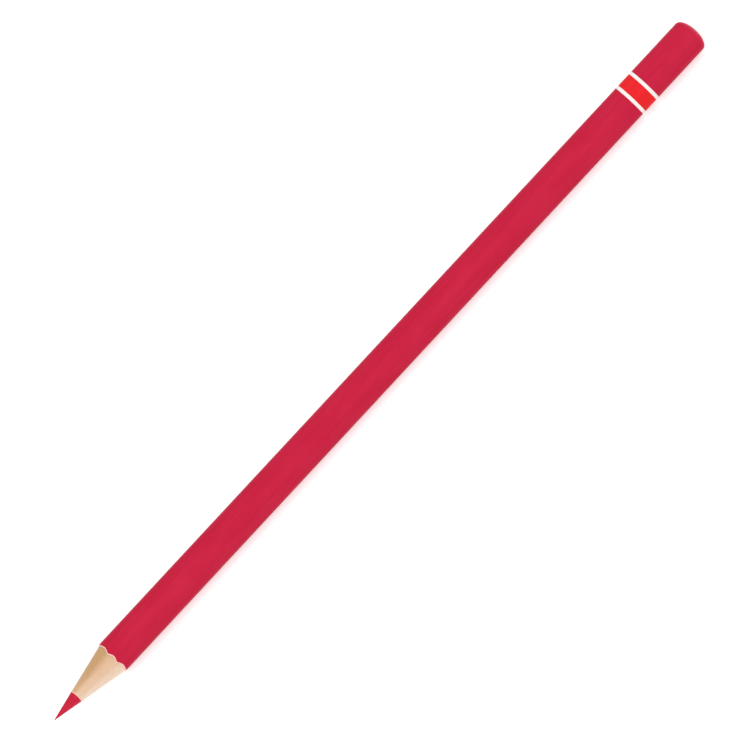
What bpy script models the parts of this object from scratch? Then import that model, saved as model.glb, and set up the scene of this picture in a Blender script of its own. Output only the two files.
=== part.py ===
"""A wood-cased copying pencil that lies on one flat of its soft-cornered hexagonal barrel.

The pencil runs along X, with its point at -X and its rounded end at +X. The flat it lies on is at Z = 0.
"""
import math

import bmesh
import bpy
from mathutils import Matrix

MM = 0.001

# The finished pencil
LENGTH = 175.0 * MM
ACROSS_FLATS = 7.0 * MM
CORNER_RADIUS = 2.6 * MM
POINT_ANGLE = math.radians(24.0)
TIP_RADIUS = 0.05 * MM
DOME_HEIGHT = 1.7 * MM

# The writing core
CORE_DIAMETER = 2.65 * MM

# The coloured stretches at the rounded end
END_DIP_LENGTH = 13.85 * MM
REAR_RING_WIDTH = 0.68 * MM
BAND_WIDTH = 2.95 * MM
FRONT_RING_WIDTH = 0.68 * MM

# The coats and the glue, and the gap left between two pieces that touch
LACQUER = 0.07 * MM
UNDERCOAT = 0.05 * MM
GLUE = 0.06 * MM
END_COAT = 0.25 * MM
END_SEAL = 0.12 * MM
GAP = 0.015 * MM

# How finely the curves are cut
ARC_STEPS = 8
ROUND_STEPS = 96
CORE_STEPS = 48
DOME_STEPS = 9

# Places along the pencil
TIP_X = -LENGTH / 2
END_X = LENGTH / 2
DOME_X = END_X - DOME_HEIGHT
DIP_X = END_X - END_DIP_LENGTH
REAR_RING_X = DIP_X - REAR_RING_WIDTH
BAND_X = REAR_RING_X - BAND_WIDTH
FRONT_RING_X = BAND_X - FRONT_RING_WIDTH

# How deep each layer starts below the finished surface of a flat
UNDERCOAT_DEPTH = LACQUER + GAP
WOOD_DEPTH = UNDERCOAT_DEPTH + UNDERCOAT + GAP

# How deep each layer starts below the top of the dome
SEAL_CROWN = END_COAT + GAP
WOOD_CROWN = SEAL_CROWN + END_SEAL + GAP

# The hole in the wood and the glue that lines it
CORE_RADIUS = CORE_DIAMETER / 2
GLUE_INNER_RADIUS = CORE_RADIUS + GAP
GLUE_OUTER_RADIUS = GLUE_INNER_RADIUS + GLUE
BORE_RADIUS = GLUE_OUTER_RADIUS + GAP
SEAM_HALF = GLUE / 2 + GAP

# Room that a cutter, or a piece before it is cut, runs past the finished surface
CUT_PAST = 5.0 * MM
CUT_START_X = TIP_X - CUT_PAST
CUT_END_X = END_X + CUT_PAST


def clear_scene():
    for obj in list(bpy.data.objects):
        bpy.data.objects.remove(obj, do_unlink=True)


def new_collection(name):
    collection = bpy.data.collections.new(name)
    bpy.context.scene.collection.children.link(collection)
    return collection


clear_scene()
PARTS = new_collection("copying_pencil")
CUTTERS = new_collection("cutters")


def linear(red, green, blue):
    """Turn a colour as seen on a screen, 0 to 255, into the linear colour a material takes."""
    def channel(value):
        value = value / 255
        return value / 12.92 if value <= 0.04045 else ((value + 0.055) / 1.055) ** 2.4
    return (channel(red), channel(green), channel(blue), 1.0)


def material(name, colour, roughness):
    made = bpy.data.materials.new(name)
    made.use_nodes = True
    shader = made.node_tree.nodes["Principled BSDF"]
    shader.inputs["Base Color"].default_value = colour
    shader.inputs["Roughness"].default_value = roughness
    shader.inputs["Metallic"].default_value = 0.0
    return made


def place(name, mesh, collection):
    """Put a mesh, drawn about the pencil's axis, at the height of that axis."""
    obj = bpy.data.objects.new(name, mesh)
    obj.location = (0.0, 0.0, ACROSS_FLATS / 2)
    collection.objects.link(obj)
    return obj


def finish(obj, colour, roughness):
    """Shade a sub-part smooth and give it its own material."""
    obj.data.materials.append(material(obj.name, colour, roughness))
    for polygon in obj.data.polygons:
        polygon.use_smooth = True
    return obj


def as_cutter(obj):
    obj.hide_render = True
    obj.display_type = "WIRE"
    return obj


def cut(obj, operation, cutter):
    modifier = obj.modifiers.new(cutter.name, "BOOLEAN")
    modifier.operation = operation
    modifier.solver = "EXACT"
    modifier.object = cutter


def section(depth):
    """Outline of the barrel, as (y, z) about its axis, at a depth below the finished surface."""
    centre_distance = (ACROSS_FLATS / 2 - CORNER_RADIUS) / math.cos(math.pi / 6)
    radius = CORNER_RADIUS - depth
    points = []
    for corner in range(6):
        middle = math.radians(60 * corner)
        for step in range(ARC_STEPS + 1):
            angle = middle + math.radians(60 * step / ARC_STEPS - 30)
            y = centre_distance * math.cos(middle) + radius * math.cos(angle)
            z = centre_distance * math.sin(middle) + radius * math.sin(angle)
            points.append((y, z))
    return points


def circle(radius, steps):
    angles = [math.tau * (i + 0.5) / steps for i in range(steps)]
    return [(radius * math.cos(angle), radius * math.sin(angle)) for angle in angles]


def extruded(name, outlines, start_x, end_x, collection):
    """A flat outline, with any holes in it, drawn out along the pencil and turned into a closed mesh."""
    curve = bpy.data.curves.new(name, "CURVE")
    curve.dimensions = "2D"
    curve.fill_mode = "BOTH"
    curve.extrude = (end_x - start_x) / 2
    for outline in outlines:
        spline = curve.splines.new("POLY")
        spline.points.add(len(outline) - 1)
        for point, (across, up) in zip(spline.points, outline):
            point.co = (across, up, 0.0, 1.0)
        spline.use_cyclic_u = True
    drawn = bpy.data.objects.new(name + "_outline", curve)
    bpy.context.scene.collection.objects.link(drawn)
    evaluated = drawn.evaluated_get(bpy.context.evaluated_depsgraph_get())
    mesh = bpy.data.meshes.new_from_object(evaluated)
    bpy.data.objects.remove(drawn, do_unlink=True)
    along_x = Matrix(((0, 0, 1, (start_x + end_x) / 2), (1, 0, 0, 0), (0, 1, 0, 0), (0, 0, 0, 1)))
    mesh.transform(along_x)
    shape = bmesh.new()
    shape.from_mesh(mesh)
    bmesh.ops.remove_doubles(shape, verts=shape.verts, dist=0.001 * MM)
    bmesh.ops.recalc_face_normals(shape, faces=shape.faces)
    shape.to_mesh(mesh)
    shape.free()
    return place(name, mesh, collection)


def domed_bar(name, depth, crown, start_x, collection):
    """A barrel at a depth below the surface, its end drawn in step by step to the crown of the dome."""
    outline = section(depth)
    height = DOME_HEIGHT - crown
    stations = [(DOME_X, 1.0)]
    for step in range(1, DOME_STEPS + 1):
        angle = math.pi / 2 * step / DOME_STEPS
        stations.append((DOME_X + height * math.sin(angle), math.cos(angle)))
    shape = bmesh.new()
    rim = [shape.verts.new((start_x, y, z)) for y, z in outline]
    end = shape.faces.new(rim)
    covered = []
    for x, scale in stations:
        drawn = bmesh.ops.extrude_face_region(shape, geom=[end])["geom"]
        covered.append(end)
        end = next(item for item in drawn if isinstance(item, bmesh.types.BMFace))
        for vert, (y, z) in zip(end.verts, outline):
            vert.co = (x, scale * y, scale * z)
    bmesh.ops.delete(shape, geom=covered[1:], context="FACES_ONLY")
    bmesh.ops.remove_doubles(shape, verts=shape.verts, dist=0.001 * MM)
    bmesh.ops.recalc_face_normals(shape, faces=shape.faces)
    mesh = bpy.data.meshes.new(name)
    shape.to_mesh(mesh)
    shape.free()
    return place(name, mesh, collection)


def box_cutter(name, low, high):
    mesh = bpy.data.meshes.new(name)
    shape = bmesh.new()
    bmesh.ops.create_cube(shape, size=1.0)
    size = [top - bottom for bottom, top in zip(low, high)]
    middle = [(top + bottom) / 2 for bottom, top in zip(low, high)]
    bmesh.ops.scale(shape, vec=size, verts=shape.verts)
    bmesh.ops.translate(shape, vec=middle, verts=shape.verts)
    shape.to_mesh(mesh)
    shape.free()
    return as_cutter(place(name, mesh, CUTTERS))


def sharpener_cutter():
    """Everything that a sharpener leaves: a cone that opens from the tip, then a stretch wider than the barrel."""
    widest = ACROSS_FLATS
    cone_length = (widest - TIP_RADIUS) / math.tan(POINT_ANGLE / 2)
    profile = [
        (0.0, 0.0),
        (TIP_RADIUS, 0.0),
        (widest, -cone_length),
        (widest, -LENGTH - CUT_PAST),
        (0.0, -LENGTH - CUT_PAST),
    ]
    mesh = bpy.data.meshes.new("sharpener")
    edges = [(i, i + 1) for i in range(len(profile) - 1)]
    mesh.from_pydata([(radius, 0.0, height) for radius, height in profile], edges, [])
    mesh.transform(Matrix.Rotation(math.pi / ROUND_STEPS, 4, "Z"))
    obj = place("sharpener", mesh, CUTTERS)
    obj.location.x = TIP_X
    obj.rotation_euler = (0.0, -math.pi / 2, 0.0)
    screw = obj.modifiers.new("turned", "SCREW")
    screw.steps = ROUND_STEPS
    screw.render_steps = ROUND_STEPS
    screw.use_merge_vertices = True
    screw.merge_threshold = 0.001 * MM
    return as_cutter(obj)


def bore_cutter():
    return as_cutter(extruded("bore", [circle(BORE_RADIUS, CORE_STEPS)], CUT_START_X, CUT_END_X, CUTTERS))


SHARPENER = sharpener_cutter()
BORE = bore_cutter()
WOOD_SHAPE = as_cutter(domed_bar("wood_shape", WOOD_DEPTH, WOOD_CROWN, CUT_START_X, CUTTERS))

CRIMSON = linear(204, 39, 70)
VERMILION = linear(238, 46, 48)
WHITE = linear(250, 248, 244)
WOOD = linear(232, 194, 158)
PALE_GROUND = linear(244, 224, 214)
GLUE_COLOUR = linear(238, 214, 192)
CORE_COLOUR = linear(200, 38, 64)


def coloured_core():
    obj = extruded("coloured_core", [circle(CORE_RADIUS, CORE_STEPS)], CUT_START_X, CUT_END_X, PARTS)
    cut(obj, "INTERSECT", WOOD_SHAPE)
    cut(obj, "INTERSECT", SHARPENER)
    finish(obj, CORE_COLOUR, 0.55)


def slat(name, low_z, high_z):
    """Half of the wooden case: one side of the seam, with a groove for the core."""
    half = box_cutter(name + "_half", (-LENGTH, -ACROSS_FLATS, low_z), (LENGTH, ACROSS_FLATS, high_z))
    obj = domed_bar(name, WOOD_DEPTH, WOOD_CROWN, CUT_START_X, PARTS)
    cut(obj, "INTERSECT", half)
    cut(obj, "DIFFERENCE", BORE)
    cut(obj, "INTERSECT", SHARPENER)
    finish(obj, WOOD, 0.65)


def glue_film():
    """A thin sleeve around the core with a wing on each side, between the slats."""
    wing_angle = math.asin(GLUE / 2 / GLUE_OUTER_RADIUS)
    reach = ACROSS_FLATS
    outline = []
    for side in (0.0, math.pi):
        tip_sign = math.cos(side)
        outline.append((tip_sign * reach, -tip_sign * GLUE / 2))
        outline.append((tip_sign * reach, tip_sign * GLUE / 2))
        for step in range(CORE_STEPS // 2 + 1):
            angle = side + wing_angle + (math.pi - 2 * wing_angle) * step / (CORE_STEPS // 2)
            outline.append((GLUE_OUTER_RADIUS * math.cos(angle), GLUE_OUTER_RADIUS * math.sin(angle)))
    obj = extruded("glue_film", [outline, circle(GLUE_INNER_RADIUS, CORE_STEPS)], CUT_START_X, CUT_END_X, PARTS)
    cut(obj, "INTERSECT", WOOD_SHAPE)
    cut(obj, "INTERSECT", SHARPENER)
    finish(obj, GLUE_COLOUR, 0.6)


def sleeve(name, depth, thickness, start_x, end_x, colour, roughness):
    """A coat around the barrel."""
    obj = extruded(name, [section(depth), section(depth + thickness)], start_x, end_x, PARTS)
    finish(obj, colour, roughness)
    return obj


def undercoat():
    obj = sleeve("undercoat", UNDERCOAT_DEPTH, UNDERCOAT, TIP_X, DOME_X - GAP, PALE_GROUND, 0.6)
    cut(obj, "INTERSECT", SHARPENER)


def body_lacquer():
    obj = sleeve("body_lacquer", 0.0, LACQUER, TIP_X, FRONT_RING_X - GAP, CRIMSON, 0.25)
    cut(obj, "INTERSECT", SHARPENER)


def rings():
    sleeve("front_white_ring", 0.0, LACQUER, FRONT_RING_X, BAND_X - GAP, WHITE, 0.25)
    sleeve("vermilion_band", 0.0, LACQUER, BAND_X, REAR_RING_X - GAP, VERMILION, 0.25)
    sleeve("rear_white_ring", 0.0, LACQUER, REAR_RING_X, DIP_X - GAP, WHITE, 0.25)


def end_seal():
    """The first dip: a shallow cap over the end grain."""
    obj = domed_bar("end_seal", UNDERCOAT_DEPTH, SEAL_CROWN, DOME_X, PARTS)
    grain = domed_bar("under_seal", WOOD_DEPTH - GAP, WOOD_CROWN - GAP, DOME_X - CUT_PAST, CUTTERS)
    cut(obj, "DIFFERENCE", as_cutter(grain))
    finish(obj, PALE_GROUND, 0.6)


def end_dip():
    """The last dip: a crimson cap over the sealed end and the stretch next to it."""
    obj = domed_bar("end_dip", 0.0, 0.0, DIP_X, PARTS)
    sealed = domed_bar("under_dip", LACQUER, END_COAT, DIP_X - CUT_PAST, CUTTERS)
    cut(obj, "DIFFERENCE", as_cutter(sealed))
    finish(obj, CRIMSON, 0.25)


coloured_core()
slat("lower_slat", -ACROSS_FLATS, -SEAM_HALF)
slat("upper_slat", SEAM_HALF, ACROSS_FLATS)
glue_film()
undercoat()
body_lacquer()
rings()
end_seal()
end_dip()
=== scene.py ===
# %% [markdown]
# # A copying pencil
# A wood-cased pencil is a set of thin layers around a dyed core: glue, two slats of wood, a ground coat,
# coloured lacquer and a dipped end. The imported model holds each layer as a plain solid, at its real size
# and place. This lesson measures those solids, builds a finer mesh for each layer in the same place, and
# then paints it.

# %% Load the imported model
import math

import bmesh
import bpy
import numpy as np
from mathutils import Matrix, Vector


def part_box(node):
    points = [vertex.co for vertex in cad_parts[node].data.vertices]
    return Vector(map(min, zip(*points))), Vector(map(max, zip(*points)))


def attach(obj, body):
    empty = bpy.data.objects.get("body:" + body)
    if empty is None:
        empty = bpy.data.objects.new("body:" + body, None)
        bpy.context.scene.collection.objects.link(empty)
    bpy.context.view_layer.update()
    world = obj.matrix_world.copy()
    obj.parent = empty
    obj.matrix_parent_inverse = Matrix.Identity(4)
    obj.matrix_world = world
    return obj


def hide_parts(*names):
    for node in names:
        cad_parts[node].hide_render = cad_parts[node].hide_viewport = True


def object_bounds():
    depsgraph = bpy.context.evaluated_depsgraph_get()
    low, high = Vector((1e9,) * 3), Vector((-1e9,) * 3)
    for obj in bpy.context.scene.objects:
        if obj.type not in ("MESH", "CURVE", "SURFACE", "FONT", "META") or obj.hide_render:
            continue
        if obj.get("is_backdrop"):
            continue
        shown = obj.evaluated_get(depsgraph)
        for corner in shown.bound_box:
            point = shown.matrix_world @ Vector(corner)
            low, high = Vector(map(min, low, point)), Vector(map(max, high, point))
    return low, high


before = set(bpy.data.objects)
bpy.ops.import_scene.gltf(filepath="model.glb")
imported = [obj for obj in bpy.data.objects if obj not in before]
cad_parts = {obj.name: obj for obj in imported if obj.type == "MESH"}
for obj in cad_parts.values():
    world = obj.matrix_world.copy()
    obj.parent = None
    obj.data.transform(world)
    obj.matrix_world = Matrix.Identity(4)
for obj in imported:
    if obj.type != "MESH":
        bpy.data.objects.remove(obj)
cad_low, cad_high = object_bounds()
MM = 0.001
print("pieces in the model:", ", ".join(sorted(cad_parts)))

# %% [markdown]
# ## Reading the sizes
# The barrel is a hexagon with large rounded corners. Its sizes could be typed in again here, but then the
# finish could drift away from the part, so they are read from the model. Half the barrel's height is the
# distance to a flat, and half its width is the reach of a corner. Those two fix the radius of the
# corners.

# %% Read the sizes
SIDES = 6
HALF_SIDE = math.pi / SIDES
TIP_X = cad_low.x
END_X = cad_high.x
AXIS_Z = (cad_low.z + cad_high.z) / 2
FLAT_REACH = (cad_high.z - cad_low.z) / 2
CORNER_REACH = (cad_high.y - cad_low.y) / 2
CORNER_CENTRE = (CORNER_REACH - FLAT_REACH) / (1 - math.cos(HALF_SIDE))
CORNER_RADIUS = CORNER_REACH - CORNER_CENTRE
FRONT_RING_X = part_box("front_white_ring")[0].x
BAND_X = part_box("vermilion_band")[0].x
REAR_RING_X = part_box("rear_white_ring")[0].x
DIP_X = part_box("end_dip")[0].x
DOME_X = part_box("end_seal")[0].x
CORE_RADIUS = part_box("coloured_core")[1].y
WOOD_END_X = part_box("coloured_core")[1].x
print(f"corner radius {CORNER_RADIUS / MM:.2f} mm, core radius {CORE_RADIUS / MM:.2f} mm")

# %% [markdown]
# ## The layers
# Under the colour lies a pale ground coat, and under that the wood. The lines along a sharpened edge
# could be painted on as stripes, but here every layer has its own depth and its own mesh, so the lines
# are right from any side. A sharpener cuts at a flat angle, so a layer shows as a line about five times
# as wide as it is thick.

# %% Name the layers
HALF_POINT = math.radians(12.0)
POINT_SLOPE = math.tan(HALF_POINT)
TIP_RADIUS = 0.05 * MM
LACQUER_DEPTH = 0.0775 * MM
WOOD_DEPTH = 0.12 * MM
GLUE = 0.05 * MM


def cone_x(radius):
    """How far along the pencil the sharpened cone has this radius."""
    return TIP_X + (radius - TIP_RADIUS) / POINT_SLOPE


print(f"the cut shows a layer {1 / math.sin(HALF_POINT):.1f} times as wide as it is thick")

# %% [markdown]
# ## Where the sharpener stops
# The edge of the paint is a row of scallops. A Boolean cut of a hexagon by a cone makes scallops too, but
# not quite these: seen with a ridge in front, three lobes of wood of equal width reach into the paint,
# and the paint runs forward in a small tooth between them. So the edge is a formula of the angle around
# the pencil. The core is a trace oval, and its edge follows the angle in the same way.

# %% Draw the cut edges
RIDGE_TURN = math.radians(120)
LOBES = 3
LOBE_BEND = 1.5
LOBE_X = TIP_X + 16.32 * MM
TOOTH_LENGTH = 0.47 * MM
CORE_OVAL = 0.042 * MM


def tooth(angle):
    """0 in the middle of a lobe of wood, 1 at the point of a tooth of paint."""
    across = LOBES * np.abs(np.sin(angle - RIDGE_TURN))
    return np.where(across < 1, across, np.abs(across - 2)) ** LOBE_BEND


def cut_x(depth, angle):
    """Where the sharpened face meets a layer at this depth below the finished surface."""
    return LOBE_X - TOOTH_LENGTH * tooth(angle) + (LACQUER_DEPTH - depth) / POINT_SLOPE


def core_reach(angle):
    """The core's radius in this direction."""
    return CORE_RADIUS + CORE_OVAL * np.cos(angle - RIDGE_TURN) ** 2


def bore_reach(angle):
    """The radius of the hole in the wood in this direction."""
    return core_reach(angle) + GLUE


core_edge = (cone_x(CORE_RADIUS) - TIP_X) / MM
paint_edge = (LOBE_X - TIP_X) / MM
print(f"the core's edge is {core_edge:.1f} mm and the paint's edge {paint_edge:.1f} mm from the tip")

# %% [markdown]
# ## The outline of the barrel
# Every coat and slat follows the rounded hexagon. A six-sided cylinder with a Bevel modifier has that
# shape, but the layers need rings whose points match from one to the next. So one list of points serves
# them all: each corner is an arc, and the points on a flat lie between two arcs. A deeper layer keeps the
# centres of the arcs and takes a smaller radius, so the layers stay parallel.

# %% Draw the outline
ARC_STEPS = 30
FLAT_POINTS = 7


def corner_arc(corner, radius):
    """Points (y, z) on the rounded corner with this number."""
    middle = 2 * HALF_SIDE * corner
    turn = middle + np.linspace(-HALF_SIDE, HALF_SIDE, ARC_STEPS + 1)
    y = CORNER_CENTRE * math.cos(middle) + radius * np.cos(turn)
    z = CORNER_CENTRE * math.sin(middle) + radius * np.sin(turn)
    return np.column_stack([y, z])


def outline(depth):
    """Points (y, z) around the axis, from the corner at +Y, at a depth below the finished surface."""
    arcs = [corner_arc(corner, CORNER_RADIUS - depth) for corner in range(SIDES)]
    share = np.arange(1, FLAT_POINTS + 1)[:, None] / (FLAT_POINTS + 1)
    points = []
    for arc, following in zip(arcs, arcs[1:] + arcs[:1]):
        flat = arc[-1] * (1 - share) + following[0] * share
        points.extend([arc, flat])
    return np.roll(np.concatenate(points), -(ARC_STEPS // 2), axis=0)


def loop(x, points):
    """One ring of points in space. x is one number, or one number for each point."""
    return np.column_stack([np.broadcast_to(x, len(points)), points[:, 0], points[:, 1] + AXIS_Z])


AROUND = len(outline(0.0))
print(AROUND, "points around the barrel")

# %% [markdown]
# ## Skinning the rings
# Each piece is a stack of rings with the same number of points, and quads join each ring to the next one.
# Screw and Solidify modifiers make sleeves too, but they can't follow a scalloped edge, so one short
# helper does this for every piece. A sleeve closes back on its first ring, a turned piece closes in a
# point at both ends, and half of the case closes with strips across its two thin ends.

# %% Join rings with faces
def join_rings(shape, rings):
    """Join each ring of vertices to the next one with quads."""
    for ring, following in zip(rings, rings[1:]):
        for i in range(len(ring)):
            k = (i + 1) % len(ring)
            shape.faces.new((ring[i], ring[k], following[k], following[i]))


def close_in_point(shape, ring):
    """Close a ring with triangles around its middle."""
    middle = shape.verts.new(sum((vert.co for vert in ring), Vector()) / len(ring))
    for i in range(len(ring)):
        shape.faces.new((ring[i], ring[(i + 1) % len(ring)], middle))


def close_in_strip(shape, ring):
    """Close a ring that runs out and back, with quads between its two sides."""
    last = len(ring) - 1
    for i in range(len(ring) // 2 - 1):
        shape.faces.new((ring[i], ring[i + 1], ring[last - i - 1], ring[last - i]))


print("a sleeve gets", AROUND, "quads between each ring and the next")

# %% Make a piece from rings
SHARP_ANGLE = math.radians(35)


def put_in_scene(name, data):
    """Make an object from a mesh, a lamp or a camera."""
    made = bpy.data.objects.new(name, data)
    bpy.context.scene.collection.objects.link(made)
    return made


def skin(name, loops, close_end=None):
    """Join rings of points into one closed mesh. Without close_end, the last ring joins the first."""
    shape = bmesh.new()
    rings = [[shape.verts.new(point) for point in points] for points in loops]
    if close_end:
        join_rings(shape, rings)
        close_end(shape, rings[0])
        close_end(shape, rings[-1])
    else:
        join_rings(shape, rings + rings[:1])
    bmesh.ops.recalc_face_normals(shape, faces=shape.faces)
    for face in shape.faces:
        face.smooth = True
    for edge in shape.edges:
        edge.smooth = edge.calc_face_angle(0.0) < SHARP_ANGLE
    mesh = bpy.data.meshes.new(name)
    shape.to_mesh(mesh)
    shape.free()
    print(f"{name}: {len(mesh.polygons)} faces")
    return put_in_scene(name, mesh)


def stands_for(piece, node):
    """Let a finished piece ride on the pencil in place of its plain solid."""
    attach(piece, "root")
    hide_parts(node)
    return piece


print(f"edges that bend more than {math.degrees(SHARP_ANGLE):.0f} degrees stay sharp")

# %% [markdown]
# ## The core
# The core is a rod of dye, clay and wax with a sharpened point. A Cone primitive would give a perfect
# needle, but a sharpener leaves a tiny round nose and faint rings. So this mesh starts with rings around
# the nose, runs along the cone with very shallow turning marks in it, and goes on along the hidden rod.

# %% Make the core
CORE_AROUND = 72
NOSE_RINGS = 5
CONE_RINGS = 70
CONE_START = 0.02
TURNING_DEPTH = 0.006 * MM
TURNING_RATE = 9.0
ROD_START = 1.0 * MM
ROD_END_ROUND = 0.15 * MM
ROD_END_SHARE = 0.2
turns = np.linspace(0, math.tau, CORE_AROUND, endpoint=False)
circle = np.column_stack([np.cos(turns), np.sin(turns)])


def turning_mark(x, angle):
    """How much a sharpener's blade has taken off, from 0 to TURNING_DEPTH."""
    along = (x - TIP_X) / MM
    waver = 2 * np.sin(angle) + np.sin(3 * angle + along)
    return TURNING_DEPTH * (0.5 + 0.5 * np.sin(TURNING_RATE * along + waver))


def make_core():
    """A round nose, the marked cone, and the rod inside the case."""
    loops = []
    for step in range(1, NOSE_RINGS + 1):
        lean = math.pi / 2 * step / NOSE_RINGS
        x = TIP_X + TIP_RADIUS * (1 - math.cos(lean))
        loops.append(loop(x, TIP_RADIUS * math.sin(lean) * circle))
    rod = core_reach(turns)
    for share in np.linspace(CONE_START, 1, CONE_RINGS):
        radius = TIP_RADIUS + share * (rod - TIP_RADIUS)
        x = cone_x(radius)
        marked = turning_mark(x, turns) * math.sin(math.pi * share)
        loops.append(loop(x, (radius - marked)[:, None] * circle))
    for x in (cone_x(rod) + ROD_START, 0.0, WOOD_END_X - ROD_END_ROUND):
        loops.append(loop(x, rod[:, None] * circle))
    loops.append(loop(WOOD_END_X, ROD_END_SHARE * CORE_RADIUS * circle))
    return skin("core_rod", loops, close_in_point)


core = stands_for(make_core(), "coloured_core")

# %% [markdown]
# ## A little unevenness
# Nothing that is shaved or brushed is perfectly even. Random numbers could roughen it, but they leave a
# jump where a ring closes. A sum of sine waves that fit a whole number of times around the barrel closes
# on itself, and it is the same in every run.

# %% Draw a ripple
RIPPLE_WAVES = 7
RIPPLE_REACH = 3.0
WAVE_FADE = 0.4
SEED_TURN = 1.7
FIRST_TWIST = 0.35
TWIST_STEP = 0.11


def ripple(angle, place, seed):
    """A smooth unevenness, about -1 to 1, that repeats around the barrel and changes along it."""
    total = np.zeros(np.broadcast(angle, place).shape)
    for order in range(1, RIPPLE_WAVES + 1):
        phase = SEED_TURN * order * seed + place * (FIRST_TWIST + TWIST_STEP * order)
        total += np.sin(order * angle + phase) / (1 + WAVE_FADE * order)
    return total / RIPPLE_REACH


sampled = ripple(turns, 0.0, 1)
print(f"one ripple runs from {sampled.min():.2f} to {sampled.max():.2f}")

# %% [markdown]
# ## The two halves of the case
# The case is two slats of wood, glued together around the core. Blocks cut by Boolean modifiers would do,
# but they leave long thin triangles that shade badly. Here each half is a stack of rings that run out
# along the wood and back along the groove. On the cone, straight lines run from the core to the scalloped
# edge of the paint, and end a hair lower, so that the coats stand above the bare wood as a small step.

# %% Shape a slat
FACE_RINGS = 46
FEATHER_EDGE = 0.004 * MM
SHAVING_DEPTH = 0.012 * MM
SHAVING_RATE = 4.2
SHAVING_SEED = 3
PAINT_STEP = 0.1 * MM
STEP_RUN = 0.03 * MM
SEAM_HALF = GLUE / 2
BARREL_SHARES = (0.01, 0.05, 0.3, 0.7, 1.0)
END_SHARES = np.linspace(0.1, 1.0, 8)


def wood_end_x(radius, reach):
    """Where the rounded end of the wood is at this radius, if it starts to bend at this reach."""
    return DOME_X + (WOOD_END_X - DOME_X) * np.sqrt(np.clip(1 - (radius / reach) ** 2, 0, 1))


def half_case(name, first, flip):
    """One slat: half of the outline from point number first. flip is 1 above the seam and -1 below it."""
    edge = outline(WOOD_DEPTH)[np.arange(first, first + AROUND // 2 + 1) % AROUND]
    reach = np.hypot(edge[:, 0], edge[:, 1])
    angle = np.arctan2(edge[:, 1], edge[:, 0])
    outward = np.column_stack([np.cos(angle), np.sin(angle)])
    bore = bore_reach(angle)
    lip = bore + FEATHER_EDGE

    def station(x, radius):
        """A ring that runs out along the wood and back along the groove, clear of the seam."""
        ring = np.concatenate([radius[:, None] * outward, (bore[:, None] * outward)[::-1]])
        ring[:, 1] = flip * np.maximum(flip * ring[:, 1], SEAM_HALF)
        return loop(np.concatenate([x, x[::-1]]), ring)

    loops = []
    start, shoulder = cone_x(lip), cut_x(WOOD_DEPTH, angle)
    for share in np.linspace(0, 1, FACE_RINGS):
        radius = lip + share * (reach - PAINT_STEP - lip)
        x = start + share * (shoulder - start)
        shaved = 0.5 + 0.5 * ripple(angle, SHAVING_RATE * (x - TIP_X) / MM, SHAVING_SEED + flip)
        loops.append(station(x, radius - SHAVING_DEPTH * math.sin(math.pi * share) * shaved))
    loops.append(station(shoulder + STEP_RUN, reach))
    for share in BARREL_SHARES:
        loops.append(station(shoulder + share * (DOME_X - shoulder), reach))
    for share in END_SHARES:
        radius = reach + share * (lip - reach)
        loops.append(station(wood_end_x(radius, reach), radius))
    return skin(name, loops, close_in_strip)


print(f"the paint stands {PAINT_STEP / MM:.1f} mm above the bare wood")

# %% Make the slats
upper_case = stands_for(half_case("upper_case_half", first=0, flip=1), "upper_slat")
lower_case = stands_for(half_case("lower_case_half", first=AROUND // 2, flip=-1), "lower_slat")

# %% [markdown]
# ## The glue
# Glue fills the groove around the core and the seam between the slats. Only its cut edge shows: a pale
# line around the core, and a hair line up each side of the cone. Solidify could thicken a bent sheet, but
# it can't branch. A tube around the core with a fin in each seam is one closed outline, drawn out along
# the pencil.

# %% Make the glue film
SEAM_REACH = CORNER_REACH - WOOD_DEPTH
FIN_ROOT = 1.25 * CORE_RADIUS
GROOVE_POINTS = 40


def glue_edge(seam_reach):
    """Points around the glue, and where each one is cut: a fin in each seam, and the groove between."""
    points, front = [], []
    lean = math.asin(SEAM_HALF / CORE_RADIUS)
    arc = np.linspace(lean, math.pi - lean, GROOVE_POINTS)
    for side in (0, math.pi):
        for edge in (-SEAM_HALF, SEAM_HALF):
            points.append((math.cos(side) * seam_reach, math.cos(side) * edge))
            front.append(cut_x(WOOD_DEPTH, side))
        bore = bore_reach(arc + side)
        points.extend(zip(bore * np.cos(arc + side), bore * np.sin(arc + side)))
        front.extend(cone_x(bore))
    return np.array(points), np.array(front)


def make_glue():
    """A film around the core and in both seams, from its cut edge to the rounded end of the wood."""
    cut, front = glue_edge(SEAM_REACH - PAINT_STEP)
    outer = glue_edge(SEAM_REACH)[0]
    root = glue_edge(FIN_ROOT)[0]
    bend = np.arctan2(root[:, 1], root[:, 0])
    rod = core_reach(bend)
    inner = rod[:, None] * np.column_stack([np.cos(bend), np.sin(bend)])
    outer_reach = np.hypot(outer[:, 0], outer[:, 1])
    loops = [
        loop(cone_x(rod), inner),
        loop(front, cut),
        loop(front.max() + STEP_RUN, outer),
        loop(wood_end_x(outer_reach, SEAM_REACH), outer),
        loop(wood_end_x(rod, SEAM_REACH), inner),
    ]
    return skin("glue_line", loops)


glue = stands_for(make_glue(), "glue_film")

# %% [markdown]
# ## The edges of a coat
# Wet paint draws itself in along an edge, so a coat ends in a small rounded shoulder. A Bevel modifier
# would round every edge alike, so the rounding is three points of the coat's own profile instead. Where
# the sharpener cuts a coat, the rings follow the scallops, and a little chipping keeps the cut from
# looking machined.

# %% Draw the edges
EDGE_ROUND = 0.03 * MM
EDGE_DROP = 0.012 * MM
# Shares of the rounding and of the drop, from the edge inward
EDGE_PROFILE = ((0.0, 1.0), (0.3, 0.4), (1.0, 0.0))
CUT_RINGS = 4
CHIP_LENGTH = 0.036 * MM
CHIPS_AROUND = 9
around_angle = np.arctan2(outline(0.0)[:, 1], outline(0.0)[:, 0])


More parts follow.
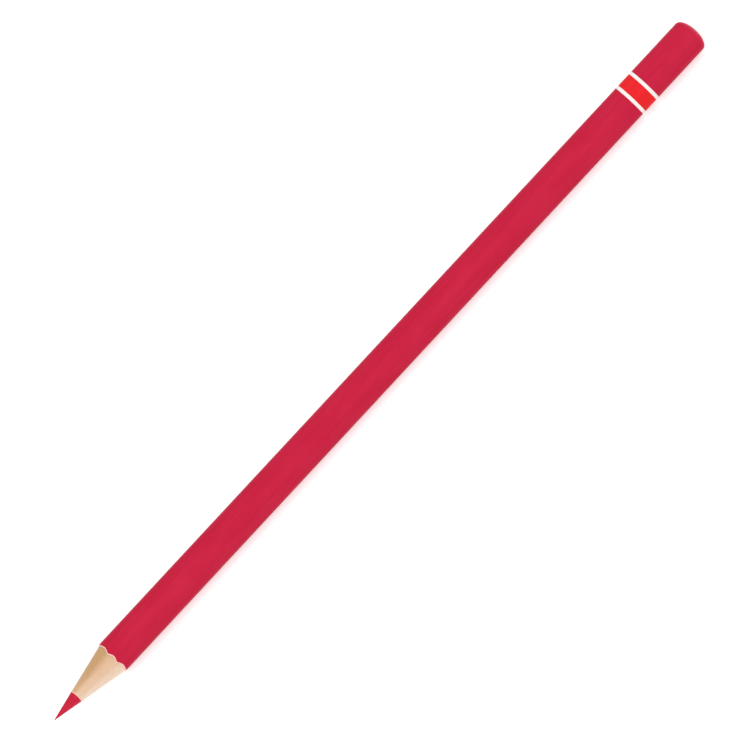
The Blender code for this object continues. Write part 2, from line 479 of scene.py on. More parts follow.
def drawn_edge(edge_x, inward, top):
    """Points (x, depth) from a coat's edge up to its full height. inward is the coat's side, 1 or -1."""
    return [(edge_x + inward * run * EDGE_ROUND, top + drop * EDGE_DROP) for run, drop in EDGE_PROFILE]


def cut_loops(top, bottom, seed):
    """Rings across the sharpened face of a coat, from its underside to its surface."""
    chipped = CHIP_LENGTH * np.maximum(0, ripple(around_angle * CHIPS_AROUND, 0.0, seed))
    depths = np.linspace(bottom, top, CUT_RINGS)
    return [loop(cut_x(depth, around_angle) + chipped, outline(depth)) for depth in depths]


print(f"the deepest chip is {CHIP_LENGTH / MM:.3f} mm long")

# %% [markdown]
# ## The coats
# The ground coat runs from the sharpened edge to the rounded end. On it lie, end to end, the crimson coat,
# a white ring, the vermilion band and another white ring. One painted tube with striped colours would
# look alike from afar. Separate sleeves give each stripe its own true edge, as separate passes through
# the paint give a real one.

# %% Shape the sleeves
SLEEVE_SHARES = (0.0004, 0.002, 0.006, 0.014, 0.03, 0.06, *np.linspace(0.1, 0.98, 30))


def sharpened_sleeve(name, top, bottom, end_x, seed):
    """A coat whose front is cut by the sharpener and whose other edge is drawn in."""
    loops = cut_loops(top, bottom, seed)
    front = loops[-1][:, 0]
    for share in SLEEVE_SHARES:
        loops.append(loop(front + share * (end_x - EDGE_ROUND - front), outline(top)))
    for x, depth in [*reversed(drawn_edge(end_x, -1, top)), (end_x, bottom)]:
        loops.append(loop(x, outline(depth)))
    return skin(name, loops)


def ring_sleeve(name, start_x, end_x):
    """A short coat between two others, with both edges drawn in."""
    profile = [
        (start_x, LACQUER_DEPTH),
        *drawn_edge(start_x, 1, 0.0),
        ((start_x + end_x) / 2, 0.0),
        *reversed(drawn_edge(end_x, -1, 0.0)),
        (end_x, LACQUER_DEPTH),
    ]
    return skin(name, [loop(x, outline(depth)) for x, depth in profile])


print(f"the long sleeves have {CUT_RINGS + len(SLEEVE_SHARES) + len(EDGE_PROFILE) + 1} rings")

# %% Make the coats
ground_sleeve = sharpened_sleeve("ground_coat", LACQUER_DEPTH, WOOD_DEPTH, DOME_X, seed=5)
body_sleeve = sharpened_sleeve("crimson_body_coat", 0.0, LACQUER_DEPTH, FRONT_RING_X, seed=2)
ground = stands_for(ground_sleeve, "undercoat")
body = stands_for(body_sleeve, "body_lacquer")
front_ring = stands_for(ring_sleeve("white_ring_front", FRONT_RING_X, BAND_X), "front_white_ring")
band = stands_for(ring_sleeve("vermilion_middle_band", BAND_X, REAR_RING_X), "vermilion_band")
rear_ring = stands_for(ring_sleeve("white_ring_rear", REAR_RING_X, DIP_X), "rear_white_ring")

# %% [markdown]
# ## The dipped end
# The end is dipped in crimson last, and the coat is thickest on the crown, where the drop hung. A half
# sphere would not keep the six soft corners, so the outline itself shrinks toward the crown, ring by
# ring. The rings run from the crown down the outside, around the edge and back up the inside.

# %% Make the dipped end
END_COAT = 0.2575 * MM
CROWN_LEANS = (88, 84, 78, 70, 62, 54, 46, 38, 30, 22, 14, 7)
HOLLOW_LEANS = (0, 15, 30, 45, 60, 75, 86)
SKIRT_RINGS = 7


def dome_loop(lean, height, depth):
    """A ring of the outline, shrunk as on a dome of this height, at an angle above the dome's foot."""
    return loop(DOME_X + height * math.sin(lean), math.cos(lean) * outline(depth))


def make_dip():
    """One closed coat: over the crown, down the outside and back up the inside."""
    height = END_X - DOME_X
    loops = [dome_loop(lean, height, 0.0) for lean in np.radians(CROWN_LEANS)]
    for x in np.linspace(DOME_X, DIP_X + EDGE_ROUND, SKIRT_RINGS, endpoint=False):
        loops.append(loop(x, outline(0.0)))
    for x, depth in [*reversed(drawn_edge(DIP_X, 1, 0.0)), (DIP_X, LACQUER_DEPTH)]:
        loops.append(loop(x, outline(depth)))
    for lean in np.radians(HOLLOW_LEANS):
        loops.append(dome_loop(lean, height - END_COAT, LACQUER_DEPTH))
    made = skin("crimson_dipped_end", loops, close_in_point)
    crown = max(made.data.vertices, key=lambda vert: vert.co.x)
    crown.co.x = END_X
    return made


dip = stands_for(make_dip(), "end_dip")

# %% [markdown]
# ## Painting with nodes
# A finish is a small network of nodes. Networks can be drawn by hand in the Shader Editor, but a script
# can build the same one for many pieces. These helpers add a node, fill its sockets and join it to
# others. A colour is written as it looks on a screen, and turned into the linear light that nodes work
# in.

# %% Helpers that add nodes
def linear(red, green, blue):
    """Turn a colour as seen on a screen, 0 to 255, into linear light, by the sRGB formula."""
    def channel(value):
        value = value / 255
        return value / 12.92 if value <= 0.04045 else ((value + 0.055) / 1.055) ** 2.4
    return (channel(red), channel(green), channel(blue), 1.0)


def fill(tree, socket, value):
    """Link an output to a socket, or set the socket's own value."""
    if isinstance(value, bpy.types.NodeSocket):
        tree.links.new(value, socket)
    else:
        socket.default_value = value


def add(tree, kind, settings=None, **sockets):
    """Add a node. in0, in1 and in2 are its sockets by number, and other names have _ for a space."""
    node = tree.nodes.new(kind)
    for name, value in (settings or {}).items():
        setattr(node, name, value)
    for name, value in sockets.items():
        numbered = name in ("in0", "in1", "in2")
        fill(tree, node.inputs[int(name[2:]) if numbered else name.replace("_", " ")], value)
    return node


def connect(tree, inputs, **outputs):
    """Link outputs to inputs by the inputs' names, with _ for a space."""
    for name, output in outputs.items():
        tree.links.new(output, inputs[name.replace("_", " ")])


print(f"half-bright grey on a screen is {linear(128, 128, 128)[0]:.2f} in linear light")

# %% [markdown]
# ## Patterns and masks
# A pattern starts from noise, which is squeezed or stretched, and cut down to a mask from 0 to 1. A
# ColorRamp node can cut it too, but a Map Range node names its limits, so the numbers stay easy to read.

# %% Helpers that work out patterns
def maths(tree, operation, first, second=0.0, clamp=False):
    """One sum on numbers."""
    settings = {"operation": operation, "use_clamp": clamp}
    return add(tree, "ShaderNodeMath", settings, in0=first, in1=second).outputs[0]


def weighted(tree, *terms):
    """Add up values, each times its own weight."""
    total = 0.0
    for value, weight in terms:
        settings = {"operation": "MULTIPLY_ADD"}
        total = add(tree, "ShaderNodeMath", settings, in0=value, in1=weight, in2=total).outputs[0]
    return total


def stretch(tree, place, scale):
    """Squeeze or stretch a pattern: a small number draws it out along that direction."""
    return add(tree, "ShaderNodeVectorMath", {"operation": "MULTIPLY"}, in0=place, in1=scale).outputs[0]


def noise(tree, place, scale, detail=3.0, roughness=0.5):
    """Soft random values, about 0.5 on average."""
    node = add(tree, "ShaderNodeTexNoise", Vector=place, Scale=scale, Detail=detail, Roughness=roughness)
    return node.outputs[0]


def between(tree, value, start, full, low=0.0, high=1.0):
    """Go smoothly from low, where the value is at start, to high, where it is at full."""
    node = add(tree, "ShaderNodeMapRange", {"interpolation_type": "SMOOTHSTEP"}, Value=value,
               From_Min=start, From_Max=full, To_Min=low, To_Max=high)
    return node.outputs[0]


def blend_colour(tree, share, first, second):
    """Mix two colours."""
    node = add(tree, "ShaderNodeMix", {"data_type": "RGBA"}, in0=share)
    fill(tree, node.inputs[6], first)
    fill(tree, node.inputs[7], second)
    return node.outputs[2]


pattern_helpers = (maths, weighted, stretch, noise, between, blend_colour)
print("pattern helpers:", ", ".join(helper.__name__ for helper in pattern_helpers))

# %% [markdown]
# ## Group: a film of lacquer
# The crimson, the vermilion and the white are one kind of lacquer in different colours. Dried lacquer is
# never quite flat: it keeps a fine orange peel, faint streaks along the barrel from the ring that wipes
# it, and a few hair scratches from handling. Three materials with the same nodes would do, but a node
# group works all that out once, for any colour, and a change to it reaches every coat.

# %% Make an empty group
COLOUR, VALUE, VECTOR = "NodeSocketColor", "NodeSocketFloat", "NodeSocketVector"


def new_group(name, inputs, outputs):
    """An empty group with named sockets. Returns its tree, its inputs and its outputs."""
    tree = bpy.data.node_groups.new(name, "ShaderNodeTree")
    for socket_name, kind in inputs:
        tree.interface.new_socket(socket_name, in_out="INPUT", socket_type=kind)
    for socket_name, kind in outputs:
        tree.interface.new_socket(socket_name, in_out="OUTPUT", socket_type=kind)
    return tree, tree.nodes.new("NodeGroupInput").outputs, tree.nodes.new("NodeGroupOutput").inputs


print("a group's sockets carry", ", ".join((COLOUR, VALUE, VECTOR)))

# %% Build the lacquer group
STREAK_STRETCH = (0.03, 1.0, 1.0)
CLOUD_STRETCH = (0.35, 1.0, 1.0)
SCRATCH_STRETCH = (0.02, 1.0, 0.5)
SCRATCH_TILT = 0.6
SCRATCH_WIDTH = 0.012
SCRATCH_STRENGTH = 0.12


def hair_scratches(tree, place):
    """1 on a scratch, 0 beside it. The edges of long cells make the scratches, in patches."""
    turn = {"rotation_type": "X_AXIS"}
    tilted = add(tree, "ShaderNodeVectorRotate", turn, Vector=place, Angle=SCRATCH_TILT).outputs[0]
    drawn_out = stretch(tree, tilted, SCRATCH_STRETCH)
    cells = add(tree, "ShaderNodeTexVoronoi", {"feature": "DISTANCE_TO_EDGE"}, Vector=drawn_out, Scale=0.8)
    line = between(tree, cells.outputs["Distance"], start=SCRATCH_WIDTH, full=0.0)
    patch = between(tree, noise(tree, place, scale=0.5, detail=1.0), start=0.52, full=0.62)
    return maths(tree, "MULTIPLY", line, patch)


def lacquer_group():
    """Colour, roughness and height of dried lacquer."""
    tree, given, out = new_group(
        "lacquer_film",
        [("Place", VECTOR), ("Colour", COLOUR), ("Shade", COLOUR)],
        [("Colour", COLOUR), ("Roughness", VALUE), ("Height", VALUE)])
    place = given["Place"]
    streak = noise(tree, stretch(tree, place, STREAK_STRETCH), scale=2.2, detail=4.0)
    cloud = noise(tree, stretch(tree, place, CLOUD_STRETCH), scale=0.35, detail=2.0)
    peel = noise(tree, place, scale=1.7, detail=2.0)
    scratch = hair_scratches(tree, place)
    tone = between(tree, weighted(tree, (streak, 0.45), (cloud, 0.55)), start=0.38, full=0.64)
    dulled = between(tree, streak, start=0.3, full=0.7, low=0.27, high=0.37)
    connect(
        tree, out,
        Colour=blend_colour(tree, tone, given["Colour"], given["Shade"]),
        Roughness=weighted(tree, (dulled, 1.0), (scratch, SCRATCH_STRENGTH)),
        Height=weighted(tree, (peel, 0.7), (streak, 0.3), (scratch, -SCRATCH_STRENGTH)))
    return tree


LACQUER_FILM = lacquer_group()
print(LACQUER_FILM.name, "has", len(LACQUER_FILM.nodes), "nodes")

# %% [markdown]
# ## Group: marks of the sharpener
# A blade turns around the point and leaves fine rings across the wood and the core. Most are too fine to
# model, so they are a height for a Bump node. A Wave texture would draw them too evenly: here a noise
# makes the rings waver, because a pencil is never held quite still, and another lets them fade in places.

# %% Build the sharpener-mark group
WAVER_MM = 1.6


def blade_group():
    """Rings around the point, a pitch apart, as values from 0 to 1."""
    tree, given, out = new_group("blade_marks", [("Place", VECTOR), ("Pitch", VALUE)], [("Marks", VALUE)])
    place = given["Place"]
    x = add(tree, "ShaderNodeSeparateXYZ", Vector=place).outputs[0]
    waver = noise(tree, place, scale=0.45, detail=2.0)
    along = weighted(tree, (waver, WAVER_MM), (x, 1.0))
    turned = maths(tree, "MULTIPLY", maths(tree, "DIVIDE", along, given["Pitch"]), math.tau)
    wave = between(tree, maths(tree, "SINE", turned), start=-1.0, full=1.0)
    fade = between(tree, noise(tree, place, scale=0.9, detail=2.0), start=0.35, full=0.7)
    connect(tree, out, Marks=maths(tree, "MULTIPLY", wave, fade))
    return tree


BLADE_MARKS = blade_group()
print(BLADE_MARKS.name, "has", len(BLADE_MARKS.nodes), "nodes")

# %% [markdown]
# ## Patterns in the wood
# Both slats are cut from one pale, straight-grained wood. A picture of wood could be wrapped around them,
# but it would smear on the cone. Patterns in space run right through the wood, and the cone cuts them as
# it cuts real fibres. Fibres and pores are noise and cells that are drawn out along the pencil. Growth
# rings are layers around a pith that lies outside it.

# %% Fibres, pores and growth rings
FIBRE_STRETCH = (0.05, 1.0, 1.0)
PORE_STRETCH = (0.16, 1.0, 1.0)
WOBBLE_STRETCH = (0.12, 1.0, 1.0)
WOBBLE_MM = 0.7
YEAR_MM = 1.35
PITH_ASIDE_MM = 11.0
PITH_BELOW_MM = 16.0


def fibres(tree, place):
    """Fine fibres, about 0.5 on average."""
    return noise(tree, stretch(tree, place, FIBRE_STRETCH), scale=7.0, detail=4.0, roughness=0.6)


def pores(tree, place):
    """1 in a pore, 0 in the solid wood."""
    drawn_out = stretch(tree, place, PORE_STRETCH)
    cells = add(tree, "ShaderNodeTexVoronoi", {"feature": "F1"}, Vector=drawn_out, Scale=5.5)
    return between(tree, cells.outputs["Distance"], start=0.2, full=0.08)


def late_wood(tree, place, y, z):
    """Rises to 1 toward the end of each year's growth, and drops to 0 where the next year starts."""
    aside = maths(tree, "ADD", y, PITH_ASIDE_MM)
    above = maths(tree, "ADD", z, PITH_BELOW_MM)
    from_pith = add(tree, "ShaderNodeCombineXYZ", X=aside, Y=above).outputs[0]
    distance = add(tree, "ShaderNodeVectorMath", {"operation": "LENGTH"}, in0=from_pith).outputs["Value"]
    wobble = noise(tree, stretch(tree, place, WOBBLE_STRETCH), scale=0.8, detail=2.0)
    grown = weighted(tree, (wobble, WOBBLE_MM), (distance, 1.0))
    year = maths(tree, "FRACT", maths(tree, "DIVIDE", grown, YEAR_MM))
    rise = between(tree, year, start=0.55, full=0.97)
    drop = between(tree, year, start=1.0, full=0.97)
    return maths(tree, "MULTIPLY", rise, drop)


pith_mm = math.hypot(PITH_ASIDE_MM, PITH_BELOW_MM)
print(f"growth rings are {YEAR_MM} mm apart, around a pith {pith_mm:.1f} mm away")

# %% [markdown]
# ## Group: pale soft wood
# One side of the cone is painted darker, as painted shade, and the opposite side paler, as painted
# light. A lamp could shade the cone like that, but not from every side, so the two sides are masks of the
# angle around the pencil. Toward the core the painted shade fades a little and the painted light grows.

# %% Find the painted shade and the painted light
BROAD_STRETCH = (0.06, 1.0, 1.0)
RAGGEDNESS = 0.3
# Angles away from the side of the painted shade, in radians, where the painted shade
# and the painted light start and where they are full
SHADE_START, SHADE_FULL = 1.47, 0.75
PAINTED_LIGHT_START, PAINTED_LIGHT_FULL = 1.4, 2.6
# Places along the pencil, in millimetres
NEAR_CORE_START, NEAR_CORE_FULL = TIP_X / MM + 13.0, TIP_X / MM + 6.0
# How much the painted shade fades and the painted light grows toward the core
SHADE_FADE = 0.4
PAINTED_LIGHT_GROWTH = 0.2


def angle_from_shade(tree, place, y, z, lean):
    """The angle around the pencil, from 0 at lean, the side of the painted shade, to pi opposite, a little
    ragged.
    """
    turn = maths(tree, "ABSOLUTE", maths(tree, "SUBTRACT", maths(tree, "ARCTAN2", z, y), lean))
    turn = maths(tree, "MINIMUM", turn, maths(tree, "SUBTRACT", math.tau, turn))
    broad = noise(tree, stretch(tree, place, BROAD_STRETCH), scale=1.6, detail=3.0)
    return weighted(tree, (maths(tree, "SUBTRACT", broad, 0.5), RAGGEDNESS), (turn, 1.0))


def painted_sides(tree, x, away):
    """Two masks: painted shade on one side of the cone, and painted light on the opposite side."""
    near_core = between(tree, x, NEAR_CORE_START, NEAR_CORE_FULL)
    shade_by_angle = between(tree, away, SHADE_START, SHADE_FULL)
    sides = between(tree, away, PAINTED_LIGHT_START, PAINTED_LIGHT_FULL)
    fade = maths(tree, "MULTIPLY", near_core, SHADE_FADE)
    growth = maths(tree, "MULTIPLY", near_core, PAINTED_LIGHT_GROWTH)
    painted_shade = maths(tree, "SUBTRACT", shade_by_angle, fade, clamp=True)
    painted_light = maths(tree, "ADD", sides, growth, clamp=True)
    return painted_shade, painted_light


print(f"the dark side reaches {math.degrees(SHADE_START):.0f} degrees either way from the lean")

# %% Build the wood group
LATE_TINT = 0.06
FIBRE_TINT = 0.12
PORE_TINT = 0.2


def wood_group():
    """Colour, roughness and height of shaved wood, with painted shade and painted light on two sides."""
    tree, given, out = new_group(
        "soft_wood",
        [("Place", VECTOR), ("Lean", VALUE),
         ("Light", COLOUR), ("Middle", COLOUR), ("Dark", COLOUR), ("Late", COLOUR)],
        [("Colour", COLOUR), ("Roughness", VALUE), ("Height", VALUE)])
    place = given["Place"]
    x, y, z = add(tree, "ShaderNodeSeparateXYZ", Vector=place).outputs
    z = maths(tree, "SUBTRACT", z, AXIS_Z / MM)
    fibre = fibres(tree, place)
    pore = pores(tree, place)
    # Masks of the painted shade and the painted light, by the angle around the pencil
    painted_shade, painted_light = painted_sides(tree, x, angle_from_shade(tree, place, y, z, given["Lean"]))
    tints = (
        maths(tree, "MULTIPLY", late_wood(tree, place, y, z), LATE_TINT),
        between(tree, fibre, start=0.3, full=0.7, high=FIBRE_TINT),
        maths(tree, "MULTIPLY", pore, PORE_TINT),
    )
    # The wood's own middle tone, then painted light on one side and painted shade on the other
    colour = blend_colour(tree, painted_light, given["Middle"], given["Light"])
    colour = blend_colour(tree, painted_shade, colour, given["Dark"])
    for tint in tints:
        colour = blend_colour(tree, tint, colour, given["Late"])
    connect(
        tree, out,
        Colour=colour,
        Roughness=between(tree, fibre, start=0.25, full=0.75, low=0.56, high=0.78),
        Height=weighted(tree, (pore, -0.5), (fibre, 1.0)))
    return tree


SOFT_WOOD = wood_group()
print(SOFT_WOOD.name, "has", len(SOFT_WOOD.nodes), "nodes")

# %% [markdown]
# ## Group: a mottled coat
# The ground coat, the glue and the seal are thin pale films that dry matt and a little patchy. Each could
# have its own noise, but then a change to one would leave the others behind. So a small group mottles any
# two close colours. Its patches are drawn out along the pencil, as the films are wiped on.

# %% Build the mottle group
MOTTLE_STRETCH = (0.3, 1.0, 1.0)
MOTTLE_DULLING = 0.12


def mottle_group():
    """Colour, roughness and height of a pale film."""
    tree, given, out = new_group(
        "mottled_coat",
        [("Place", VECTOR), ("Colour", COLOUR), ("Shade", COLOUR), ("Roughness", VALUE)],
        [("Colour", COLOUR), ("Roughness", VALUE), ("Height", VALUE)])
    mottle = noise(tree, stretch(tree, given["Place"], MOTTLE_STRETCH), scale=3.0, detail=3.0)
    tone = between(tree, mottle, start=0.35, full=0.65)
    connect(
        tree, out,
        Colour=blend_colour(tree, tone, given["Colour"], given["Shade"]),
        Roughness=weighted(tree, (tone, MOTTLE_DULLING), (given["Roughness"], 1.0)),
        Height=mottle)
    return tree


MOTTLED_COAT = mottle_group()
print(MOTTLED_COAT.name, "has", len(MOTTLED_COAT.nodes), "nodes")

# %% [markdown]
# ## The finishes
# Each kind of piece gets its own material. Its patterns could be laid out on a UV map, but the pencil's
# own coordinates, turned into millimetres, need no map, and give every pattern a real size. The shader
# stays in the material, and numbers that are the same all over are set on it directly.

# %% Material helpers
def new_finish(name, **fixed):
    """A material with the pencil's coordinates in millimetres. fixed sets the shader's own sockets."""
    finish = bpy.data.materials.new(name)
    finish.use_nodes = True
    tree = finish.node_tree
    shader = tree.nodes["Principled BSDF"]
    for key, value in fixed.items():
        shader.inputs[key.replace("_", " ")].default_value = value
    coordinates = tree.nodes.new("ShaderNodeTexCoord").outputs["Object"]
    return finish, tree, shader, stretch(tree, coordinates, (1 / MM, 1 / MM, 1 / MM))


def use_group(tree, group, **sockets):
    """Place a group in a material and return its outputs."""
    return add(tree, "ShaderNodeGroup", {"node_tree": group}, **sockets).outputs


def raised(tree, height, depth_mm):
    """A normal that follows a pattern's height, as if it stood depth_mm high."""
    return add(tree, "ShaderNodeBump", Height=height, Distance=depth_mm * MM).outputs[0]


def wear(piece, finish):
    """Give a piece its finish."""
    piece.data.materials.clear()
    piece.data.materials.append(finish)
    print(f"{piece.name} wears {finish.name}")


shared_groups = (LACQUER_FILM, BLADE_MARKS, SOFT_WOOD, MOTTLED_COAT)
print("shared groups:", ", ".join(group.name for group in shared_groups))

# %% [markdown]
# ### Lacquers
# The coats of the barrel are coloured lacquer with a low, soft gloss. A Coat layer on the shader would
# give the hard shine of varnish, which this pencil doesn't have. So the gloss is a low specular level,
# and the coats differ only in the two close colours that their streaks run between.

# %% Lacquer finishes
LACQUER_GLOSS = 0.02
LACQUER_RELIEF_MM = 0.012


def lacquer(name, colour, shade):
    """A lacquer whose streaks run between two close colours."""
    finish, tree, shader, place = new_finish(name, Specular_IOR_Level=LACQUER_GLOSS)
    film = use_group(tree, LACQUER_FILM, Place=place, Colour=colour, Shade=shade)
    connect(
        tree, shader.inputs,
        Base_Color=film["Colour"],
        Roughness=film["Roughness"],
        Normal=raised(tree, film["Height"], LACQUER_RELIEF_MM))
    return finish


CRIMSON = lacquer("crimson_lacquer", linear(204, 40, 70), linear(199, 35, 65))
VERMILION = lacquer("vermilion_lacquer", linear(239, 46, 51), linear(235, 40, 45))
WHITE = lacquer("white_lacquer", linear(252, 247, 244), linear(248, 242, 238))
wear(body, CRIMSON)
wear(dip, CRIMSON)
wear(band, VERMILION)
wear(front_ring, WHITE)
wear(rear_ring, WHITE)

# %% [markdown]
# ### Wood
# The bare cone is shaved wood, matt and a little rough. A fuzz of torn fibre ends makes it paler where it
# turns away from the eye. A pale stripe painted along the outline would stay behind when the camera
# moves, so the shader's Sheen does this. The two slats are sawn from one block. Both get the painted
# shade and the painted light at the same angle around the pencil, so the colour runs on across the seam.
# Each slat still keeps its own material, so that either can be changed alone.

# %% Wood finishes
# The turn around the pencil of the side that gets the painted shade
SHADED_SIDE_TURN = math.radians(40)
WOOD_MARK_PITCH_MM = 0.42
WOOD_RELIEF_MM = 0.02
FUZZ_WEIGHT = 0.8
FUZZ_ROUGHNESS = 0.4
FUZZ_TINT = linear(255, 244, 232)


def wood(name):
    """Shaved wood with the marks of a blade and a fuzz of fibre ends."""
    finish, tree, shader, place = new_finish(
        name, Sheen_Weight=FUZZ_WEIGHT, Sheen_Roughness=FUZZ_ROUGHNESS, Sheen_Tint=FUZZ_TINT)
    # The pale colour is painted light and the dark colour painted shade, on two sides of the cone. The
    # middle colour is the wood's own tone, and the late colour its grain, fibres and pores.
    grain = use_group(
        tree, SOFT_WOOD, Place=place, Lean=SHADED_SIDE_TURN,
        Light=linear(248, 222, 198), Middle=linear(229, 190, 155),
        Dark=linear(204, 160, 110), Late=linear(190, 132, 84))
    marks = use_group(tree, BLADE_MARKS, Place=place, Pitch=WOOD_MARK_PITCH_MM)["Marks"]
    height = weighted(tree, (marks, 0.5), (grain["Height"], 1.0))
    connect(
        tree, shader.inputs,
        Base_Color=grain["Colour"],
        Roughness=grain["Roughness"],
        Normal=raised(tree, height, WOOD_RELIEF_MM))
    return finish


wear(upper_case, wood("upper_slat_wood"))
wear(lower_case, wood("lower_slat_wood"))

# %% [markdown]
# ### Core
# The core is dye, clay and wax: even in colour, a little grainy, and slightly shiny where the blade has
# passed. A flat red would look like plastic, so fine grit and a soft cloud move the colour between two
# close reds.

# %% Core finish
CORE_GLOSS = 0.25
CORE_MARK_PITCH_MM = 0.3
CORE_RELIEF_MM = 0.012


def core_finish():
    """A grainy red with the marks of a blade."""
    finish, tree, shader, place = new_finish("dyed_core", Specular_IOR_Level=CORE_GLOSS)
    marks = use_group(tree, BLADE_MARKS, Place=place, Pitch=CORE_MARK_PITCH_MM)["Marks"]
    grit = noise(tree, place, scale=9.0, detail=3.0, roughness=0.7)
    cloud = noise(tree, place, scale=1.2, detail=2.0)
    tone = between(tree, weighted(tree, (grit, 0.6), (cloud, 0.4)), start=0.36, full=0.66)
    height = weighted(tree, (marks, 0.8), (grit, 1.0))
    connect(
        tree, shader.inputs,
        Base_Color=blend_colour(tree, tone, linear(208, 20, 60), linear(193, 11, 48)),
        Roughness=between(tree, grit, start=0.3, full=0.7, low=0.42, high=0.58),
        Normal=raised(tree, height, CORE_RELIEF_MM))
    return finish


wear(core, core_finish())

# %% [markdown]
# ### Ground coat, seal and glue
# These show only as thin pale lines, or not at all. They could share one material, but the glue is warmer
# and a little smoother than the ground coat, so one function makes all three, each with its own pair of
# close colours. The seal keeps its plain solid from the model and only changes its finish.

# %% Pale finishes
MOTTLE_RELIEF_MM = 0.01


def pale(name, colour, shade, roughness):
    """A matt film, slightly mottled between two close colours."""
    finish, tree, shader, place = new_finish(name)
    film = use_group(tree, MOTTLED_COAT, Place=place, Colour=colour, Shade=shade, Roughness=roughness)
    connect(
        tree, shader.inputs,
        Base_Color=film["Colour"],
        Roughness=film["Roughness"],
        Normal=raised(tree, film["Height"], MOTTLE_RELIEF_MM))
    return finish


wear(ground, pale("pale_ground_coat", linear(252, 212, 197), linear(246, 202, 185), roughness=0.54))
wear(glue, pale("dried_glue", linear(252, 204, 182), linear(245, 194, 168), roughness=0.44))
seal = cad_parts["end_seal"]
seal_finish = pale("end_grain_seal", linear(240, 220, 206), linear(230, 206, 190), roughness=0.54)
seal.data.materials[0] = seal_finish
print(f"{seal.name} wears {seal_finish.name}")

# %% [markdown]
# ## The floor
# The pencil lies on plain white paper. Brighter lamps would turn the paper quite white, but they would
# bleach the pencil too. So the paper glows a little, and only for rays that look at it: from the camera,
# or after a reflection or a pass through glass. The pencil gets no light from that glow, and its soft
# shadow stays.

# %% Finish of the floor
PAPER = (0.92, 0.92, 0.92, 1.0)
PAPER_ROUGHNESS = 0.9
PAPER_GLOW = 0.42


def paper_finish():
    """White paper that glows for rays that look at it."""
    finish = bpy.data.materials.new("white_floor")
    finish.use_nodes = True
    tree = finish.node_tree
    paper = tree.nodes["Principled BSDF"]
    paper.inputs["Base Color"].default_value = PAPER
    paper.inputs["Roughness"].default_value = PAPER_ROUGHNESS
    paper.inputs["Specular IOR Level"].default_value = 0.0
    glow = add(tree, "ShaderNodeEmission", Strength=PAPER_GLOW)
    glowing = add(tree, "ShaderNodeAddShader", in0=paper.outputs[0], in1=glow.outputs[0])
    ray = tree.nodes.new("ShaderNodeLightPath").outputs
    looked_at = maths(tree, "ADD", ray["Is Camera Ray"], ray["Is Glossy Ray"])
    looked_at = maths(tree, "ADD", looked_at, ray["Is Transmission Ray"], clamp=True)
    seen = add(tree, "ShaderNodeMixShader", in0=looked_at, in1=paper.outputs[0], in2=glowing.outputs[0])
    connect(tree, tree.nodes["Material Output"].inputs, Surface=seen.outputs[0])
    return finish


print(f"the paper sends back {PAPER[0]:.0%} of the light that falls on it")

# %% Make the floor
FLOOR_HALF = 6.0
FLOOR_GAP = 0.02 * MM


def make_floor():
    """A wide sheet, a hair below the pencil."""
    shape = bmesh.new()
    bmesh.ops.create_grid(shape, x_segments=1, y_segments=1, size=FLOOR_HALF)
    mesh = bpy.data.meshes.new("floor")
    shape.to_mesh(mesh)
    shape.free()
    mesh.materials.append(paper_finish())
    floor = put_in_scene("floor", mesh)
    floor.location.z = cad_low.z - FLOOR_GAP
    return floor


make_floor()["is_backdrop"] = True
print(f"the floor is {2 * FLOOR_HALF:.0f} m wide")

# %% [markdown]
# ## The light
# The photograph is lit so evenly that it shows no highlight. A sun or a small spot would draw a hard
# shadow, so a white sky lights everything, and two large soft lamps, one beyond each end, add a little
# shape. Together they are just strong enough for a colour to render about as it is written.

# %% Set the light
LAMP_SIZE = 1.9
LAMP_WATTS = 14.3
LAMP_AWAY, LAMP_FRONT, LAMP_HEIGHT = 1.25, 0.33, 1.15
SKY_STRENGTH = 0.56


def soft_lamp(name, place):
    """A large square lamp that faces the pencil."""
    lamp = bpy.data.lights.new(name, "AREA")
    lamp.shape = "SQUARE"
    lamp.size = LAMP_SIZE
    lamp.energy = LAMP_WATTS
    holder = put_in_scene(name, lamp)
    holder.location = place
    holder.rotation_euler = (-Vector(place)).to_track_quat("-Z", "Y").to_euler()
    holder.visible_camera = False


soft_lamp("lamp_at_the_point", (-LAMP_AWAY, -LAMP_FRONT, LAMP_HEIGHT))
soft_lamp("lamp_at_the_end", (LAMP_AWAY, -LAMP_FRONT, LAMP_HEIGHT))
sky = bpy.data.worlds.new("white_sky")
sky.use_nodes = True
background = sky.node_tree.nodes["Background"]
background.inputs["Color"].default_value = (1.0, 1.0, 1.0, 1.0)
background.inputs["Strength"].default_value = SKY_STRENGTH
bpy.context.scene.world = sky
bpy.context.scene.view_settings.view_transform = "Standard"
print(f"two lamps of {LAMP_WATTS} W and a sky of strength {SKY_STRENGTH}")

# %% [markdown]
# ## The camera
# In the photograph the pencil runs from corner to corner, and nothing shrinks with distance, so the lens
# is very long. The camera could be nudged into place by eye, but two pixels say more: where the tip is
# and where the end is. They give its roll, its distance and its aim. A ridge of the barrel faces the
# camera, which puts it 60 degrees above the floor, and the bands curve a little, so the tip is slightly
# nearer than the end.

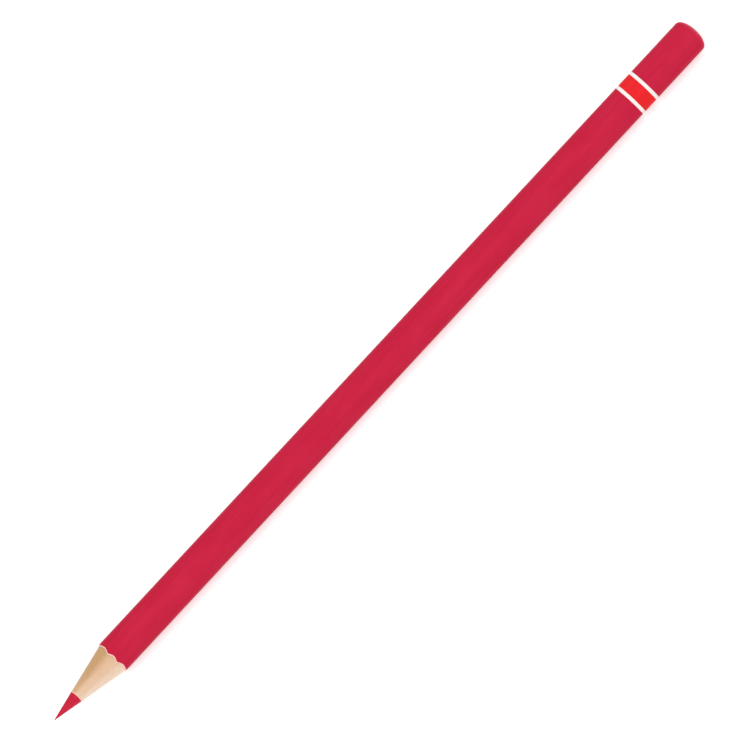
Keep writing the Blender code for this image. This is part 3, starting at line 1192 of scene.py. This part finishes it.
# %% Place the camera
IMAGE_SIZE = 750
TIP_PIXEL = Vector((54.3, 720.3))
END_PIXEL = Vector((695.4, 29.9))
RIDGE_HEIGHT = math.radians(60)
TIP_NEARER = math.radians(1.5)
LENS = 450.0
SENSOR = 36.0
CLIP_END = 50.0


def camera_axes(roll):
    """The camera's right, its up, and the direction from the pencil to the camera."""
    level = math.cos(TIP_NEARER)
    toward = Vector((
        -math.sin(TIP_NEARER), -level * math.cos(RIDGE_HEIGHT), level * math.sin(RIDGE_HEIGHT)))
    along = (Vector((1, 0, 0)) - toward * toward.x).normalized()
    over = toward.cross(along)
    right = math.cos(roll) * along - math.sin(roll) * over
    up = math.sin(roll) * along + math.cos(roll) * over
    return right, up, toward


def make_camera():
    """A long lens, aimed so that the tip and the end fall on their pixels."""
    length = END_X - TIP_X
    run = END_PIXEL - TIP_PIXEL
    roll = math.atan2(-run.y, run.x)
    right, up, toward = camera_axes(roll)
    pixel = length * math.cos(TIP_NEARER) / run.length
    distance = IMAGE_SIZE * pixel / SENSOR * LENS
    nearer = length / 2 * math.sin(TIP_NEARER) / distance
    middle = (TIP_PIXEL + END_PIXEL) / 2 + run * nearer / 2 - Vector((IMAGE_SIZE / 2, IMAGE_SIZE / 2))
    target = Vector((0, 0, AXIS_Z)) - right * middle.x * pixel + up * middle.y * pixel
    lens = bpy.data.cameras.new("camera")
    lens.lens = LENS
    lens.sensor_width = SENSOR
    lens.clip_end = CLIP_END
    camera = put_in_scene("camera", lens)
    camera.matrix_world = Matrix((right, up, toward)).transposed().to_4x4()
    camera.location = target + toward * distance
    print(f"camera {distance:.3f} m away, rolled {math.degrees(roll):.1f} degrees")
    return camera


bpy.context.scene.camera = make_camera()

# %% [markdown]
# A coat of paint must not make the pencil bigger than the part. The two could be compared by eye, but
# numbers are surer: the model's box, kept from the start, against the finished pencil's.

# %% Compare the sizes
now_low, now_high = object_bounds()
grown = max(*(cad_low - now_low), *(now_high - cad_high))
print(f"the finished pencil stands {grown / MM:.4f} mm out of the model's box at most")
